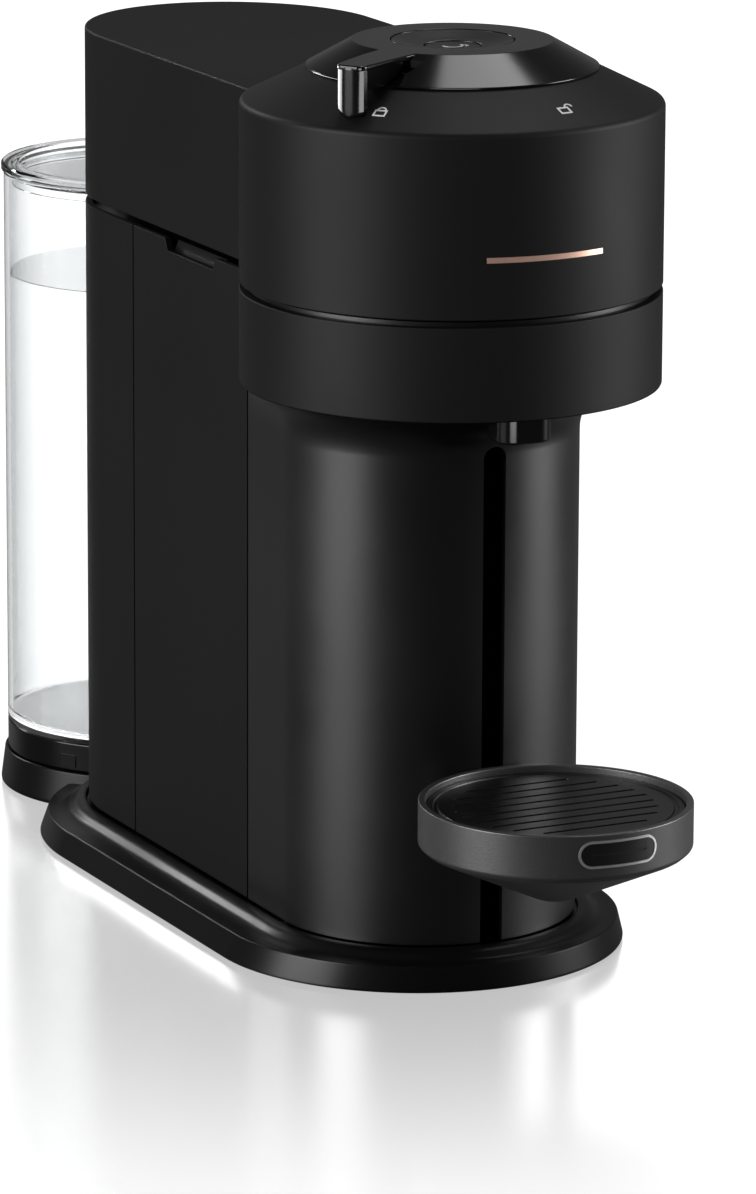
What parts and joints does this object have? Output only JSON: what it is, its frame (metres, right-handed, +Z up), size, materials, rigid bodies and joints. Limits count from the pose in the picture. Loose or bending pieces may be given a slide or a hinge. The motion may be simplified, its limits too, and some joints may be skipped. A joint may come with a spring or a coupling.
{
  "type": "pod coffee machine",
  "caption": "Pod coffee machine: round opening head with a lever ring on a slim column, side capsule bin, rear water tank and a cup support that slides in a slot.",
  "frame": {"origin": "middle of the bounding box on the surface the machine stands on", "axes": "+Z up, -Y towards the front (cup support), +Y towards the water tank, +X to the right seen from the front"},
  "size_m": [0.1436, 0.4288, 0.314],
  "materials": {
    "matte_black": "fine matte texture",
    "satin_black": "smooth satin",
    "gloss_black": "high gloss",
    "inner_black": "plain moulded",
    "tray_grey": "metallic matte",
    "clear_plastic": "clear moulded plastic",
    "rubber": "plain",
    "seal": "silicone",
    "steel": "machined",
    "aluminium": "cast",
    "frame_grey": "glass filled moulding",
    "hose": "silicone hose",
    "pcb": "coated board",
    "pump_case": "moulded",
    "rose_metal": "satin foil",
    "badge_metal": "satin"
  },
  "bodies": {
    "chassis": {"base_plate": "satin_black", "rubber_feet": "rubber", "base_screws": "steel", "tower_shell": "matte_black", "column_shell": "satin_black", "support_rail": "gloss_black", "head_band": "matte_black", "top_deck": "satin_black", "hinge_barrel": "satin_black", "hinge_pin": "steel", "coffee_spout": "gloss_black", "coffee_collector": "inner_black", "brew_chassis": "frame_grey", "chassis_screws": "steel", "holder_bearing": "steel", "spin_motor": "steel", "motor_bracket": "steel", "drive_belt": "rubber", "water_pump": "pump_case", "pump_mounts": "rubber", "thermoblock": "aluminium", "flow_meter": "frame_grey", "control_board": "pcb", "suction_hose": "hose", "pressure_hose": "hose", "hot_water_pipe": "steel", "tank_seat": "satin_black", "valve_socket": "inner_black", "socket_seal": "seal", "cord_inlet": "rubber"},
    "head": {"head_cap": "matte_black", "rear_cover": "matte_black", "head_liner": "inner_black", "head_frame": "frame_grey", "frame_screws": "steel", "brew_head_bearing": "steel", "button_post": "inner_black", "button_bezel": "satin_black", "lock_marks": "rose_metal", "front_badge": "rose_metal"},
    "lever": {"lever_ring": "gloss_black", "lock_ring": "steel"},
    "button": {"brew_button": "satin_black", "button_mark": "rose_metal", "button_spring": "steel"},
    "piercer": {"piercing_plate": "inner_black"},
    "holder": {"capsule_holder": "inner_black", "holder_pulley": "steel"},
    "motor_rotor": {"motor_pulley": "steel"},
    "bin": {"capsule_bin": "matte_black"},
    "tank": {"water_tank": "clear_plastic", "tank_base": "satin_black", "tank_valve": "hose", "tank_lid": "clear_plastic"},
    "support": {"cup_support": "tray_grey", "support_badge": "badge_metal"},
    "grid": {"drip_grid": "satin_black"}
  },
  "joints": [
    {"name": "head_hinge", "type": "hinge", "parent": "chassis", "child": "head", "pos_m": [0, 0.112, 0.245], "axis": [-1, 0, 0], "range_deg": [0, 45]},
    {"name": "lever_turn", "type": "hinge", "parent": "head", "child": "lever", "pos_m": [0, -0.0903, 0.305], "axis": [0, 0, 1], "range_deg": [0, 60]},
    {"name": "button_press", "type": "slide", "parent": "head", "child": "button", "axis": [0, 0, -1], "range_m": [0, 0.0015], "stiffness_N_per_m": 600, "springref_m": -0.001, "deforming": ["button_spring"]},
    {"name": "piercer_spin", "type": "hinge", "parent": "head", "child": "piercer", "pos_m": [0, -0.0903, 0.24], "axis": [0, 0, 1], "continuous": true},
    {"name": "holder_spin", "type": "hinge", "parent": "chassis", "child": "holder", "pos_m": [0, -0.0903, 0.178], "axis": [0, 0, 1], "continuous": true},
    {"name": "motor_spin", "type": "hinge", "parent": "chassis", "child": "motor_rotor", "pos_m": [0, -0.062, 0.12], "axis": [0, 0, 1], "continuous": true},
    {"name": "bin_draw", "type": "slide", "parent": "chassis", "child": "bin", "axis": [-1, 0, 0], "range_m": [0, 0.115]},
    {"name": "tank_pull", "type": "slide", "parent": "chassis", "child": "tank", "axis": [0, 1, 0], "range_m": [0, 0.11]},
    {"name": "support_slide", "type": "slide", "parent": "chassis", "child": "support", "axis": [0, 0, 1], "range_m": [-0.028, 0.06]},
    {"name": "grid_lift", "type": "slide", "parent": "support", "child": "grid", "axis": [0, 0, 1], "range_m": [0, 0.02]}
  ],
  "couplings": [
    {"joint": "piercer_spin", "follows": "holder_spin", "ratio": 1},
    {"joint": "motor_spin", "follows": "holder_spin", "ratio": 2}
  ]
}
